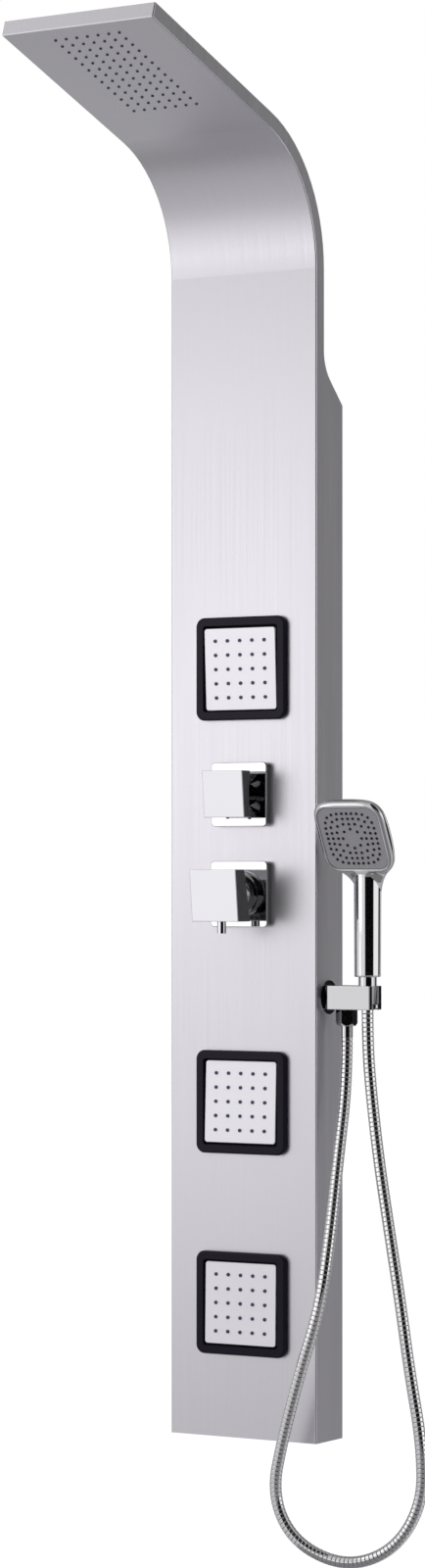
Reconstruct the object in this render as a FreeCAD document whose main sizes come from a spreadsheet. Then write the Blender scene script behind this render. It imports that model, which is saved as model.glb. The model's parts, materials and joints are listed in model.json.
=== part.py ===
"""Shower panel column: a folded stainless column with a rain head, three swivelling body jets,
a diverter knob, a single-lever mixer and a hand shower on a ribbed hose.

Row frame, millimetres: +Z up, the front faces -Y, the wall is the plane Y = 0, and X = 0 is the
middle of the column. The origin is the centre of the four wall screws.
"""
import FreeCAD, Part
import math
import os
import re
import Sketcher

Vector = FreeCAD.Vector
X_AXIS = Vector(1, 0, 0)
Y_AXIS = Vector(0, 1, 0)
Z_AXIS = Vector(0, 0, 1)

doc = FreeCAD.newDocument("shower_panel_column")
sheet = doc.addObject("Spreadsheet::Sheet", "Sizes")

# ---------------------------------------------------------------- driving dimensions
DIMENSIONS = {
    # column
    "panel_width": 200, "panel_depth": 62, "half_height": 610, "steel": 1.2, "edge_round": 1.6,
    "neck_depth": 18, "slant_top": 651, "slant_round": 45,
    "bend_height": 878.5, "bend_round": 155, "head_angle": 18, "tip_reach": 421.6,
    "lip_width": 12, "tab_size": 14,
    # rain head
    "rain_columns": 7, "rain_rows": 13, "rain_across": 14.1, "rain_along": 14.3,
    "rain_first_row": 23.8, "rain_nozzle": 1.7, "rain_proud": 0.8,
    "mat_thickness": 1.5, "mat_width": 104, "mat_length": 192, "mat_start": 14,
    "box_width": 128, "box_length": 208, "box_start": 6, "box_depth": 9, "box_wall": 2,
    # wall brackets
    "screw_x": 60, "screw_z": 500, "screw_hole": 3.25,
    "bracket_width": 160, "bracket_height": 44, "bracket_plate": 2, "bracket_reach": 14,
    "bracket_lip": 2, "bar_height": 26, "bar_front": 11.5, "bar_back": 4, "bar_steel": 1.5,
    # small screws: cover, rain box and bezel
    "cover_screw": 1.3, "cover_screw_head": 2.8, "cover_screw_side": 8, "neck_tab_1": 690, "neck_tab_2": 740,
    "head_tab_1": 60, "head_tab_2": 200, "box_screw": 1.5, "box_screw_head": 2.6, "box_screw_side": 5,
    "box_screw_1": 24, "box_screw_2": 110, "box_screw_3": 196,
    # pipes and fittings behind the front
    "pipe_outer": 5.6, "pipe_bore": 4, "valve_y": -32, "ports_y": -34, "spigot": 4, "spigot_bore": 2.6,
    "tee_radius": 7, "tee_run": 13, "tail_radius": 8, "tail_bore": 5, "elbow_radius": 7.8, "elbow_x": 82,
    # jets
    "jet_1_z": 299.5, "jet_2_z": -213, "jet_3_z": -451,
    "jet_1_aim": 2.5, "jet_2_aim": -2, "jet_3_aim": -1,
    "bezel_size": 122, "bezel_opening": 102.4, "bezel_proud": 7.5, "bezel_round": 11,
    "tray_size": 104, "cutout_size": 105, "tray_wall": 1.4, "tray_round": 6.5,
    "tray_floor": 2.5, "tray_depth": 12,
    "flange_size": 114, "flange_depth": 1.5,
    "pad_size": 96.8, "pad_plate": 2, "ball_depth": 10, "ball_radius": 10,
    "liner_inner": 10.3, "liner_outer": 10.9, "socket_inner": 11.2, "socket_outer": 13.5,
    "pad_front": 16.3, "jet_columns": 5, "jet_pitch": 16.8, "jet_nozzle": 2.1,
    "bezel_screw_place": 53.2,
    # diverter
    "diverter_z": 150.5, "diverter_plate": 76, "plate_proud": 10, "plate_round": 5,
    "diverter_knob": 55, "diverter_front": 46, "diverter_top": 19, "diverter_bottom": 15,
    "diverter_lean": 5.6,
    "groove_radius": 110,
    "groove_depth": 3.5, "knob_screw": 10.9, "set_screw": 2, "diverter_barrel": 22, "diverter_neck": 17,
    # mixer
    "mixer_z": 33, "mixer_plate": 78, "dome_radius": 27.5, "dome_wall": 2.2, "dome_proud": 18,
    "handle_size": 61, "handle_front": 67, "handle_top": 21, "handle_bottom": 28,
    "handle_lean": 6, "lever_radius": 5.2, "lever_length": 14, "inlet_x": 38, "inlet_thread": 10.48,
    "mixer_barrel": 26, "mixer_neck": 21, "mixer_pipe": 13.5, "mixer_pipe_bore": 8, "link_radius": 10,
    "link_bore": 7,
    # holder
    "holder_z": -88, "holder_y": -34.5, "outlet_x": 125.3, "cradle_x": 153.3,
    "holder_width": 30, "holder_height": 28, "holder_start": 107, "holder_end": 163.8,
    "flange_radius": 20, "slot_width": 16,
    # hose
    "hose_radius": 7, "hose_valley": 6.1, "hose_bore": 4.4, "hose_ribs": 200,
    "nut_height": 19, "ferrule_height": 13,
    # hand shower
    "grip_radius": 15.5, "grip_bottom": -63.5, "grip_top": 62, "head_tilt": 27.6,
    "face_y": -69.7, "face_z": 98.3, "face_size": 80.6, "head_size": 93, "head_deep": 25,
    "dish_radius": 150, "chamber_deep": 12, "tip_radius": 1.6,
    "head_round": 26, "face_round": 15, "cone_top": 10.8, "cone_bottom": 8.6,
}
for line, (alias, number) in enumerate(DIMENSIONS.items(), 1):
    sheet.set(f"A{line}", alias)
    sheet.set(f"B{line}", str(number))
    sheet.setAlias(f"B{line}", alias)
doc.recompute()


def size(alias):
    """A driving dimension, read from the sheet."""
    return float(sheet.get(alias))


def formula(text):
    """Turn a formula in bare aliases into one that reads the sheet."""
    return re.sub(r"[a-z_][a-z_0-9]*", lambda m: f"Sizes.{m[0]}" if m[0] in DIMENSIONS else m[0], str(text))


def bind(item, **formulas):
    """Bind properties of an object to the sheet; a double underscore stands for a dot."""
    for name, text in formulas.items():
        item.setExpression(name.replace("__", "."), formula(text))
    return item


def place(item, x=0, y=0, z=0, about=None, angle=0):
    """Place an object at formulas for x, y and z, turned by an angle about an axis."""
    if about is not None:
        item.Placement = FreeCAD.Placement(Vector(), FreeCAD.Rotation(about, angle))
    return bind(item, Placement__Base__x=x, Placement__Base__y=y, Placement__Base__z=z)


# ---------------------------------------------------------------- primitive shapes
def block(name, x, y, z):
    """A box between two formulas on each axis."""
    item = doc.addObject("Part::Box", name)
    bind(item, Length=f"({x[1]}) - ({x[0]})", Width=f"({y[1]}) - ({y[0]})", Height=f"({z[1]}) - ({z[0]})")
    return place(item, x[0], y[0], z[0])


def centred(name, width, y, height, z=0):
    """A box of a width in X and a height in Z about x = 0 and z, between two places in Y."""
    half_w, half_h = f"({width}) / 2", f"({height}) / 2"
    return block(name, (f"-{half_w}", half_w), y, (f"({z}) - {half_h}", f"({z}) + {half_h}"))


TURNS = {"x": (Y_AXIS, 90), "y": (X_AXIS, -90), "z": (Z_AXIS, 0)}


def rod(name, axis, radius, start, end, x=0, y=0, z=0, top_radius=None):
    """A cylinder, or a cone with a second radius, along an axis from start to end."""
    if top_radius is None:
        item = bind(doc.addObject("Part::Cylinder", name), Radius=radius)
    else:
        item = bind(doc.addObject("Part::Cone", name), Radius1=radius, Radius2=top_radius)
    bind(item, Height=f"({end}) - ({start})")
    at = {"x": x, "y": y, "z": z}
    at[axis] = start
    return place(item, at["x"], at["y"], at["z"], *TURNS[axis])


def hexagon(name, axis, across_corners, start, end, x=0, y=0, z=0):
    """A hexagonal prism along an axis."""
    item = bind(doc.addObject("Part::Prism", name), Circumradius=f"({across_corners}) / 2")
    item.Polygon = 6
    bind(item, Height=f"({end}) - ({start})")
    at = {"x": x, "y": y, "z": z}
    at[axis] = start
    return place(item, at["x"], at["y"], at["z"], *TURNS[axis])


def ball(name, radius, x=0, y=0, z=0):
    """A full sphere."""
    return place(bind(doc.addObject("Part::Sphere", name), Radius=radius), x, y, z)


def fuse(name, *items):
    """Several touching shapes made one."""
    item = doc.addObject("Part::MultiFuse", name)
    item.Shapes = list(items)
    item.Refine = True
    return item


def group(name, *items):
    """Several separate solids in one node."""
    item = doc.addObject("Part::Compound", name)
    item.Links = list(items)
    return item


def cut(name, base, *tools):
    """A shape less its tools."""
    item = doc.addObject("Part::Cut", name)
    item.Base = base
    item.Tool = tools[0] if len(tools) == 1 else group(f"{name}_tools", *tools)
    return item


def common(name, *items):
    """What several shapes share."""
    item = doc.addObject("Part::MultiCommon", name)
    item.Shapes = list(items)
    return item


def grid(name, columns, rows, pitch_x, pitch_z, radius, start, end, axis="y", offset=0):
    """Rods on a centred grid, sized in code from the sheet's numbers."""
    rods = []
    for column in range(columns):
        for row in range(rows):
            across = (column - (columns - 1) / 2) * pitch_x
            along = offset + row * pitch_z if axis == "z" else (row - (rows - 1) / 2) * pitch_z
            base = Vector(across, along, start) if axis == "z" else Vector(across, start, along)
            direction = Z_AXIS if axis == "z" else Y_AXIS
            rods.append(Part.makeCylinder(radius, end - start, base, direction))
    item = doc.addObject("Part::Feature", name)
    item.Shape = Part.Compound(rods)
    return item


# ---------------------------------------------------------------- sketched bodies
def origin_plane(body, role):
    """One of a body's own origin planes."""
    return next(item for item in body.Origin.OriginFeatures if item.Role == role)


def outline_sketch(body, name, role, points):
    """A closed sketch through points given as pairs of formulas, each bound to the sheet."""
    sketch = body.newObject("Sketcher::SketchObject", name)
    sketch.AttachmentSupport = [(origin_plane(body, role), "")]
    sketch.MapMode = "FlatFace"
    count = len(points)
    turn = 2 * math.pi / count
    rough = [Vector(50 * math.cos(i * turn), 50 * math.sin(i * turn), 0) for i in range(count)]
    for i in range(count):
        sketch.addGeometry(Part.LineSegment(rough[i], rough[(i + 1) % count]), False)
    for i in range(count):
        sketch.addConstraint(Sketcher.Constraint("Coincident", i, 2, (i + 1) % count, 1))
    for i, (across, up) in enumerate(points):
        for kind, axis, text in (("DistanceX", "x", across), ("DistanceY", "y", up)):
            value = getattr(rough[i], axis)
            number = sketch.addConstraint(Sketcher.Constraint(kind, -1, 1, i, 1, value))
            sketch.renameConstraint(number, f"point_{i}_{axis}")
            sketch.setExpression(f"Constraints.point_{i}_{axis}", formula(text))
    return sketch


def pad(body, sketch, name, length, midplane=False):
    """Pad a sketch of a body by a formula's length."""
    feature = body.newObject("PartDesign::Pad", name)
    feature.Profile = sketch
    feature.Midplane = midplane
    bind(feature, Length=length)
    sketch.Visibility = False
    return feature


def edges_where(feature, test):
    """The names of a feature's edges whose middle point and direction pass a test."""
    names = []
    for number, edge in enumerate(feature.Shape.Edges, 1):
        first, last = edge.ParameterRange
        middle = edge.valueAt((first + last) / 2)
        direction = edge.tangentAt((first + last) / 2)
        if test(middle, direction, edge):
            names.append(f"Edge{number}")
    return names


def fillet(body, base, name, test, radius):
    """Round the edges of a body's feature that pass a test."""
    doc.recompute()
    feature = body.newObject("PartDesign::Fillet", name)
    feature.Base = (base, edges_where(base, test))
    bind(feature, Radius=radius)
    return feature


def rounded_plate(name, width, height, thickness, corner, front_round=None, z=0, x=0, y=0):
    """A plate with its back on y, standing towards -Y, with round corners and a soft front edge."""
    body = doc.addObject("PartDesign::Body", name)
    half_w, half_h = f"({width}) / 2", f"({height}) / 2"
    corners = [(f"-{half_w}", f"-{half_h}"), (half_w, f"-{half_h}"), (half_w, half_h), (f"-{half_w}", half_h)]
    sketch = outline_sketch(body, f"{name}_outline", "XZ_Plane", corners)
    last = pad(body, sketch, f"{name}_pad", thickness)
    last = fillet(body, last, f"{name}_corners", lambda m, d, e: abs(d.y) > 0.99, corner)
    if front_round is not None:
        doc.recompute()
        front = min(vertex.Y for vertex in last.Shape.Vertexes)
        last = fillet(body, last, f"{name}_front", lambda m, d, e: abs(m.y - front) < 1e-4, front_round)
    return place(body, x, y, z)


# ---------------------------------------------------------------- pipes along a route
def route_edges(points, radii=None):
    """Straight runs joined by tangent arcs: each arc takes 0.45 of its shorter run, unless given."""
    edges, start, turns = [], points[0], []
    for i in range(1, len(points) - 1):
        before, corner, after = points[i - 1], points[i], points[i + 1]
        back = (before - corner).normalize()
        ahead = (after - corner).normalize()
        half_turn = (math.pi - back.getAngle(ahead)) / 2
        reach = 0.45 * min(before.distanceToPoint(corner), corner.distanceToPoint(after))
        if radii is not None:
            reach = radii[i - 1] * math.tan(half_turn)
        radius = reach / math.tan(half_turn)
        turns.append(radius)
        enter, leave = corner + back * reach, corner + ahead * reach
        to_centre = (back + ahead).normalize() * (radius / math.cos(half_turn))
        centre = corner + to_centre
        middle = centre + (corner - centre).normalize() * radius
        edges.append(Part.LineSegment(start, enter).toShape())
        edges.append(Part.Arc(enter, middle, leave).toShape())
        start = leave
    edges.append(Part.LineSegment(start, points[-1]).toShape())
    return edges, turns


SEAM = Vector(0.2, 1, 0)


def disc(centre, axis, radius):
    """A circular wire square to an axis, its seam on a steady side."""
    circle = Part.Circle()
    circle.Center = centre
    circle.Axis = axis
    circle.XAxis = Vector(SEAM - axis * SEAM.dot(axis)).normalize()
    circle.Radius = radius
    return Part.Wire([circle.toShape()])


def pipe(name, points, radii):
    """A hollow pipe along a route, as a feature sized in code from the sheet's numbers."""
    edges = route_edges([Vector(*point) for point in points], radii)[0]
    path = Part.Wire(edges)
    tangent = edges[0].tangentAt(edges[0].FirstParameter)
    skins = []
    for radius in (size("pipe_outer"), size("pipe_bore")):
        start = disc(edges[0].valueAt(edges[0].FirstParameter), tangent, radius)
        skins.append(path.makePipeShell([start], True, False))
    item = doc.addObject("Part::Feature", name)
    item.Shape = skins[0].cut(skins[1])
    return item


nodes = {}


def node(name, item):
    """Keep an object as a sub-part, under its own name."""
    item.Label = name
    nodes[name] = item
    return item


# ---------------------------------------------------------------- column casing
TIP_Z = "(bend_height + (tip_reach - panel_depth) * tan(head_angle))"
BACK_BEND_Z = "(bend_height + neck_depth * tan(45 - head_angle / 2))"
NECK_BACK = "(neck_depth - panel_depth)"


def tip_z():
    """Height of the head's lower tip edge."""
    rise = math.tan(math.radians(size("head_angle")))
    return size("bend_height") + (size("tip_reach") - size("panel_depth")) * rise


def on_head(item):
    """Place an object built in the head's own frame: y along the head from its tip, z up through it."""
    item.Placement = FreeCAD.Placement(Vector(), FreeCAD.Rotation(X_AXIS, -size("head_angle")))
    return bind(item, Placement__Base__y="-tip_reach", Placement__Base__z=TIP_Z)


def casing_solid():
    """The column's full side profile, padded to its width, its bends rounded, hollow from the back."""
    body = doc.addObject("PartDesign::Body", "casing")
    profile = [
        ("-panel_depth", "-half_height"),
        ("-panel_depth", "bend_height"),
        ("-tip_reach", TIP_Z),
        ("neck_depth * sin(head_angle) - tip_reach", f"{TIP_Z} + neck_depth * cos(head_angle)"),
        (NECK_BACK, BACK_BEND_Z),
        (NECK_BACK, "slant_top"),
        ("0", "half_height"),
        ("0", "-half_height"),
    ]
    last = pad(body, outline_sketch(body, "casing_profile", "YZ_Plane", profile), "casing_pad",
               "panel_width", midplane=True)
    doc.recompute()
    bends = (
        ("casing_front_bend", -size("panel_depth"), size("bend_height"), "bend_round"),
        ("casing_back_bend", size("neck_depth") - size("panel_depth"), None, "bend_round + neck_depth"),
        ("casing_slant", size("neck_depth") - size("panel_depth"), size("slant_top"), "slant_round"),
    )
    rise = math.tan(math.radians(size("head_angle")))

    def along_front(middle, direction, edge):
        """The sheet's folds between its front and its sides, and along the head's tip."""
        depth, reach = size("panel_depth"), size("tip_reach")
        on_side = abs(abs(middle.x) - size("panel_width") / 2) < 1e-3
        upright = abs(middle.y + depth) < 1e-3 and abs(direction.z) > 0.9
        bend = abs(getattr(edge.Curve, "Radius", 0) - size("bend_round")) < 0.5
        front_z = size("bend_height") - (middle.y + depth) * rise
        under_head = middle.y < -2 * depth and abs(middle.z - front_z) < 1
        tip = middle.y < size("neck_depth") - reach and abs(direction.x) < 0.5
        low_tip = abs(middle.y + reach) < 1e-3 and abs(direction.x) > 0.9
        return low_tip or (on_side and (upright or bend or under_head or tip))

    for name, y, z, radius in bends:
        def at_bend(middle, direction, edge, y=y, z=z):
            high = middle.z > size("slant_top") + 100 if z is None else abs(middle.z - z) < 0.5
            return abs(direction.x) > 0.99 and abs(middle.y - y) < 0.5 and high
        last = fillet(body, last, name, at_bend, radius)
    doc.recompute()
    backs = []
    for number, face in enumerate(last.Shape.Faces, 1):
        u0, u1, v0, v1 = face.ParameterRange
        normal = face.normalAt((u0 + u1) / 2, (v0 + v1) / 2)
        if abs(normal.x) < 0.5 and (normal.y > 0.2 or normal.z > 0.5):
            backs.append(f"Face{number}")
    hollow = body.newObject("PartDesign::Thickness", "casing_hollow")
    hollow.Base = (last, backs)
    hollow.Reversed = True
    hollow.Join = "Intersection"
    bind(hollow, Value="steel")
    fillet(body, hollow, "casing_edges", along_front, "edge_round")
    return body


def front_shell():
    """The folded front sheet: column, head, lips for the wall side and tabs for the rear cover."""
    body = casing_solid()
    lips = []
    for side, x in (("left", ("steel / 2 - panel_width / 2", "lip_width - panel_width / 2")),
                    ("right", ("panel_width / 2 - lip_width", "panel_width / 2 - steel / 2"))):
        lips.append(block(f"lip_{side}", x, ("-steel", "0"),
                          ("-half_height + steel / 2", "half_height - 12")))
    tabs = []
    levels = [f"neck_depth - {share} * steel" for share in (2.6, 1.3)]
    for row in (1, 2):
        for side, sign in (("left", -1), ("right", 1)):
            ends = (f"{sign} * (panel_width - steel) / 2", f"{sign} * (panel_width / 2 - tab_size)")
            reach = ends if sign < 0 else ends[::-1]
            hole_x = f"{sign} * (panel_width / 2 - cover_screw_side)"
            low = f"neck_tab_{row}"
            tab = block(f"neck_tab_{side}_{row}", reach, [f"{level} - panel_depth" for level in levels],
                        (low, f"{low} + tab_size"))
            hole = rod(f"neck_tab_hole_{side}_{row}", "y", "cover_screw", f"{levels[0]} - panel_depth - 1",
                       NECK_BACK, x=hole_x, z=f"{low} + tab_size / 2")
            tabs.append(cut(f"neck_tab_cut_{side}_{row}", tab, hole))
            low = f"head_tab_{row}"
            tab = block(f"head_tab_{side}_{row}", reach, (low, f"{low} + tab_size"), levels)
            hole = rod(f"head_tab_hole_{side}_{row}", "z", "cover_screw", f"{levels[0]} - 1", "neck_depth",
                       x=hole_x, y=f"{low} + tab_size / 2")
            tabs.append(on_head(cut(f"head_tab_cut_{side}_{row}", tab, hole)))
    whole = fuse("shell_whole", body, *lips, *tabs)
    holes = [
        rod("diverter_hole", "y", 18, "-panel_depth - 5", "-panel_depth + 5", z="diverter_z"),
        rod("mixer_hole", "y", 22, "-panel_depth - 5", "-panel_depth + 5", z="mixer_z"),
        rod("holder_hole", "x", 10.6, "panel_width / 2 - 5", "panel_width / 2 + 5", y="holder_y",
            z="holder_z"),
    ]
    for number in (1, 2, 3):
        z = f"jet_{number}_z"
        holes.append(rounded_plate(f"jet_{number}_cutout", "cutout_size", "cutout_size", 10,
                                   "tray_round + 0.5",
                                   y="5 - panel_depth", z=z))
        for place_x in (-1, 1):
            for place_z in (-1, 1):
                holes.append(rod(f"jet_{number}_screw_hole", "y", 1.7, "-panel_depth - 5", "-panel_depth + 5",
                                 x=f"{place_x} * bezel_screw_place",
                                 z=f"{z} + {place_z} * bezel_screw_place"))
    spray = grid("rain_holes", int(size("rain_columns")), int(size("rain_rows")), size("rain_across"),
                 size("rain_along"), size("rain_nozzle") + 0.1, -2, 2, "z", size("rain_first_row"))
    on_head(spray)
    node("front_shell", cut("front_shell", whole, *holes, spray))


def rear_cover():
    """The strip that closes the back of the head, the bend and the neck, down to the deep box."""
    steel, depth, neck = size("steel"), size("panel_depth"), size("neck_depth")
    angle = math.radians(size("head_angle"))
    along = Vector(0, math.cos(angle), -math.sin(angle))
    through = Vector(0, math.sin(angle), math.cos(angle))
    tip = Vector(0, -size("tip_reach"), tip_z()) + along * (steel + 0.3)
    half_turn = math.tan(math.radians(45 - size("head_angle") / 2))
    skins = []
    for level in (neck, neck - steel):
        slope = (size("slant_top") - size("half_height")) / (depth - neck)
        slant_step = (neck - level) * (math.hypot(1, slope) - slope) if level < neck else 0
        corner_y = level - depth
        points = [
            tip + through * level,
            Vector(0, corner_y, size("bend_height") + level * half_turn),
            Vector(0, corner_y, size("slant_top") - slant_step),
            Vector(0, -14, size("half_height") + 14 * slope - (neck - level) * math.hypot(1, slope)),
        ]
        radii = [size("bend_round") + level, size("slant_round") + (neck - level)]
        skins.append(route_edges(points, radii)[0])
    tops = [edges[0].valueAt(edges[0].FirstParameter) for edges in skins]
    feet = [edges[-1].valueAt(edges[-1].LastParameter) for edges in skins]
    ends = [Part.LineSegment(*pair).toShape() for pair in (tops, feet)]
    face = Part.Face(Part.Wire(Part.__sortEdges__(skins[0] + skins[1] + ends)))
    half = size("panel_width") / 2 - steel - 0.3
    face.translate(Vector(-half, 0, 0))
    strip = face.extrude(Vector(2 * half, 0, 0))
    cover = doc.addObject("Part::Feature", "rear_strip")
    cover.Shape = strip
    holes, screws = [], []
    for row in (1, 2):
        for side, sign in (("left", -1), ("right", 1)):
            x = f"{sign} * (panel_width / 2 - cover_screw_side)"
            z = f"neck_tab_{row} + tab_size / 2"
            name = f"neck_screw_{side}_{row}"
            holes.append(rod(f"{name}_hole", "y", "cover_screw + 0.4", f"{NECK_BACK} - 5", f"{NECK_BACK} + 5",
                             x=x, z=z))
            head = rod(f"{name}_head", "y", "cover_screw_head", NECK_BACK, f"{NECK_BACK} + 1.6", x=x, z=z)
            shank = rod(f"{name}_shank", "y", "cover_screw", f"{NECK_BACK} - 5", NECK_BACK, x=x, z=z)
            screws.append(fuse(name, head, shank))
            y = f"head_tab_{row} + tab_size / 2"
            name = f"head_screw_{side}_{row}"
            hole = rod(f"{name}_hole", "z", "cover_screw + 0.4", "neck_depth - 5", "neck_depth + 5", x=x, y=y)
            holes.append(on_head(group(f"{name}_place", hole)))
            head = rod(f"{name}_head", "z", "cover_screw_head", "neck_depth", "neck_depth + 1.6", x=x, y=y)
            shank = rod(f"{name}_shank", "z", "cover_screw", "neck_depth - 5", "neck_depth", x=x, y=y)
            screws.append(on_head(fuse(name, head, shank)))
    node("upper_back_cover", cut("upper_back_cover", cover, *holes))
    node("back_cover_screws", group("back_cover_screws", *screws))


def wall_fixing():
    """Two brackets on the wall, and the two bars inside the column that hang on them."""
    brackets, bars = [], []
    for name, sign in (("upper", 1), ("lower", -1)):
        z = f"({sign} * screw_z)"
        plate = centred(f"{name}_plate", "bracket_width", ("-bracket_plate", "0"), "bracket_height", z)
        top = f"{z} + bracket_height / 2"
        shelf = centred(f"{name}_shelf", "bracket_width", ("-bracket_reach", "-bracket_plate / 2"),
                        "bracket_lip", f"{top} - bracket_lip / 2")
        lip = centred(f"{name}_lip", "bracket_width", ("-bracket_reach", "bracket_lip - bracket_reach"), 14,
                      f"{top} + 5")
        holes = [rod(f"{name}_hole_{side}", "y", "screw_hole", -5, 5, x=f"{side} * screw_x", z=z)
                 for side in (-1, 1)]
        brackets.append(cut(f"{name}_bracket", fuse(f"{name}_bent", plate, shelf, lip), *holes))
        middle = f"{top} + bar_height / 2"
        bar = centred(f"{name}_bar_block", "panel_width - 2 * steel", ("-bar_front", "-bar_back"),
                      "bar_height",
                      middle)
        inside = centred(f"{name}_bar_hollow", "panel_width",
                         ("bar_steel - bar_front", "-bar_back - bar_steel"),
                         "bar_height - 2 * bar_steel", middle)
        bars.append(cut(f"{name}_bar", bar, inside))
    node("wall_brackets", group("wall_brackets", *brackets))
    node("hanger_bars", group("hanger_bars", *bars))


# ---------------------------------------------------------------- rain head
def rain_head():
    """The nozzle mat, the water box over it, and the screws that hold the box down."""
    mat_top = size("steel") + size("mat_thickness")
    plate = block("mat_plate", ("-mat_width / 2", "mat_width / 2"), ("mat_start", "mat_start + mat_length"),
                  ("steel", "steel + mat_thickness"))
    tips = grid("mat_tips", int(size("rain_columns")), int(size("rain_rows")), size("rain_across"),
                size("rain_along"), size("rain_nozzle"), -size("rain_proud"), size("steel") + 0.1, "z",
                size("rain_first_row"))
    node("rain_nozzle_mat", on_head(fuse("rain_nozzle_mat", plate, tips)))

    outer = block("water_box_block", ("-box_width / 2", "box_width / 2"),
                  ("box_start", "box_start + box_length"), ("steel", "steel + mat_thickness + box_depth"))
    seat = block("water_box_seat", ("-mat_width / 2", "mat_width / 2"),
                 ("mat_start", "mat_start + mat_length"),
                 ("0", "steel + mat_thickness"))
    hollow = block("water_box_hollow", ("-mat_width / 2 + 4", "mat_width / 2 - 4"),
                   ("mat_start + 4", "mat_start + mat_length - 4"),
                   ("steel + mat_thickness - 0.5", "steel + mat_thickness + box_depth - box_wall"))
    middle = mat_top + size("box_depth") / 2
    spigot = rod("water_box_spigot", "y", "spigot", "box_start + box_length - 1",
                 "box_start + box_length + 16",
                 z=middle)
    spigot_bore = rod("water_box_bore", "y", "spigot_bore", "box_start + box_length - 12",
                      "box_start + box_length + 18",
                      z=middle)
    holes, screws = [], []
    lid = "(steel + mat_thickness + box_depth)"
    for row in (1, 2, 3):
        for side, sign in (("left", -1), ("right", 1)):
            at = {"x": f"{sign} * (box_width / 2 - box_screw_side)", "y": f"box_screw_{row}"}
            name = f"box_fixing_{side}_{row}"
            holes.append(rod(f"{name}_hole", "z", "box_screw", 3, f"{lid} + 2", **at))
            head = rod(f"{name}_head", "z", "box_screw_head", lid, f"{lid} + 1.4", **at)
            shank = rod(f"{name}_shank", "z", "box_screw", 3, lid, **at)
            screws.append(on_head(fuse(name, head, shank)))
    box = fuse("water_box_whole", outer, spigot)
    node("rain_water_box", on_head(cut("rain_water_box", box, seat, hollow, spigot_bore, *holes)))
    node("rain_box_screws", group("rain_box_screws", *screws))

    angle = math.radians(size("head_angle"))
    along = Vector(0, math.cos(angle), -math.sin(angle))
    through = Vector(0, math.sin(angle), math.cos(angle))
    tip = Vector(0, -size("tip_reach"), tip_z())
    start = tip + along * (size("box_start") + size("box_length") + 2) + through * middle
    neck_y = middle - size("panel_depth")
    half_bend = math.radians(45 - size("head_angle") / 2)
    bend = Vector(0, neck_y, size("bend_height") + middle * math.tan(half_bend))
    points = [start, bend, Vector(0, neck_y, 690), Vector(-70, -38, 585),
              Vector(-70, -34, size("diverter_z")), Vector(-40, -34, size("diverter_z"))]
    radii = [size("bend_round") + middle, 60, 60, 20]
    node("rain_supply_hose", pipe("rain_supply_hose", points, radii))


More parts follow.
